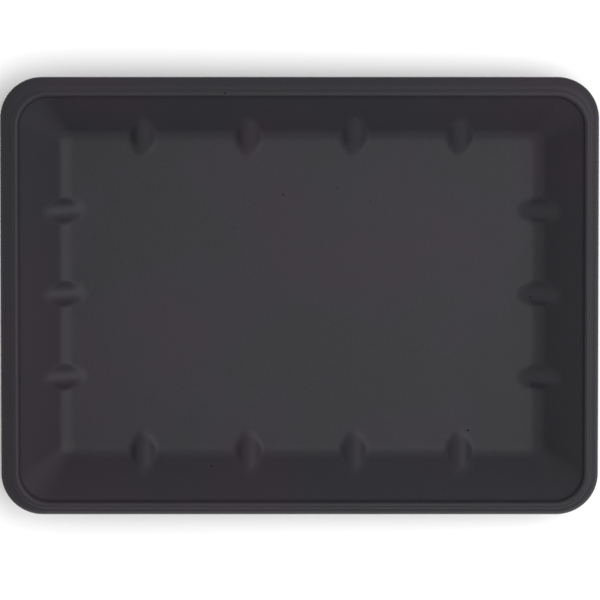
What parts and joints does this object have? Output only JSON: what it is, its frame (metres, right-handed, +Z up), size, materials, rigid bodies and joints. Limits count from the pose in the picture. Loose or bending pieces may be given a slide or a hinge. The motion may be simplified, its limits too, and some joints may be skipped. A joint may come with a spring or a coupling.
{
  "type": "foam meat tray",
  "caption": "Shallow rectangular black foam tray with flared walls, ribs pressed across the heel and a beaded rim that rolls down to a punched edge, for fresh meat.",
  "frame": {"origin": "centre of the outside box in plan, on the flat underside that the tray stands on", "axes": "+Z up out of the open side, +X along the long sides, +Y across them"},
  "size_m": [0.302, 0.223, 0.028],
  "materials": {
    "tray": "satin skin of black polystyrene foam"
  },
  "bodies": {
    "root": {"tray": "tray"}
  },
  "joints": []
}
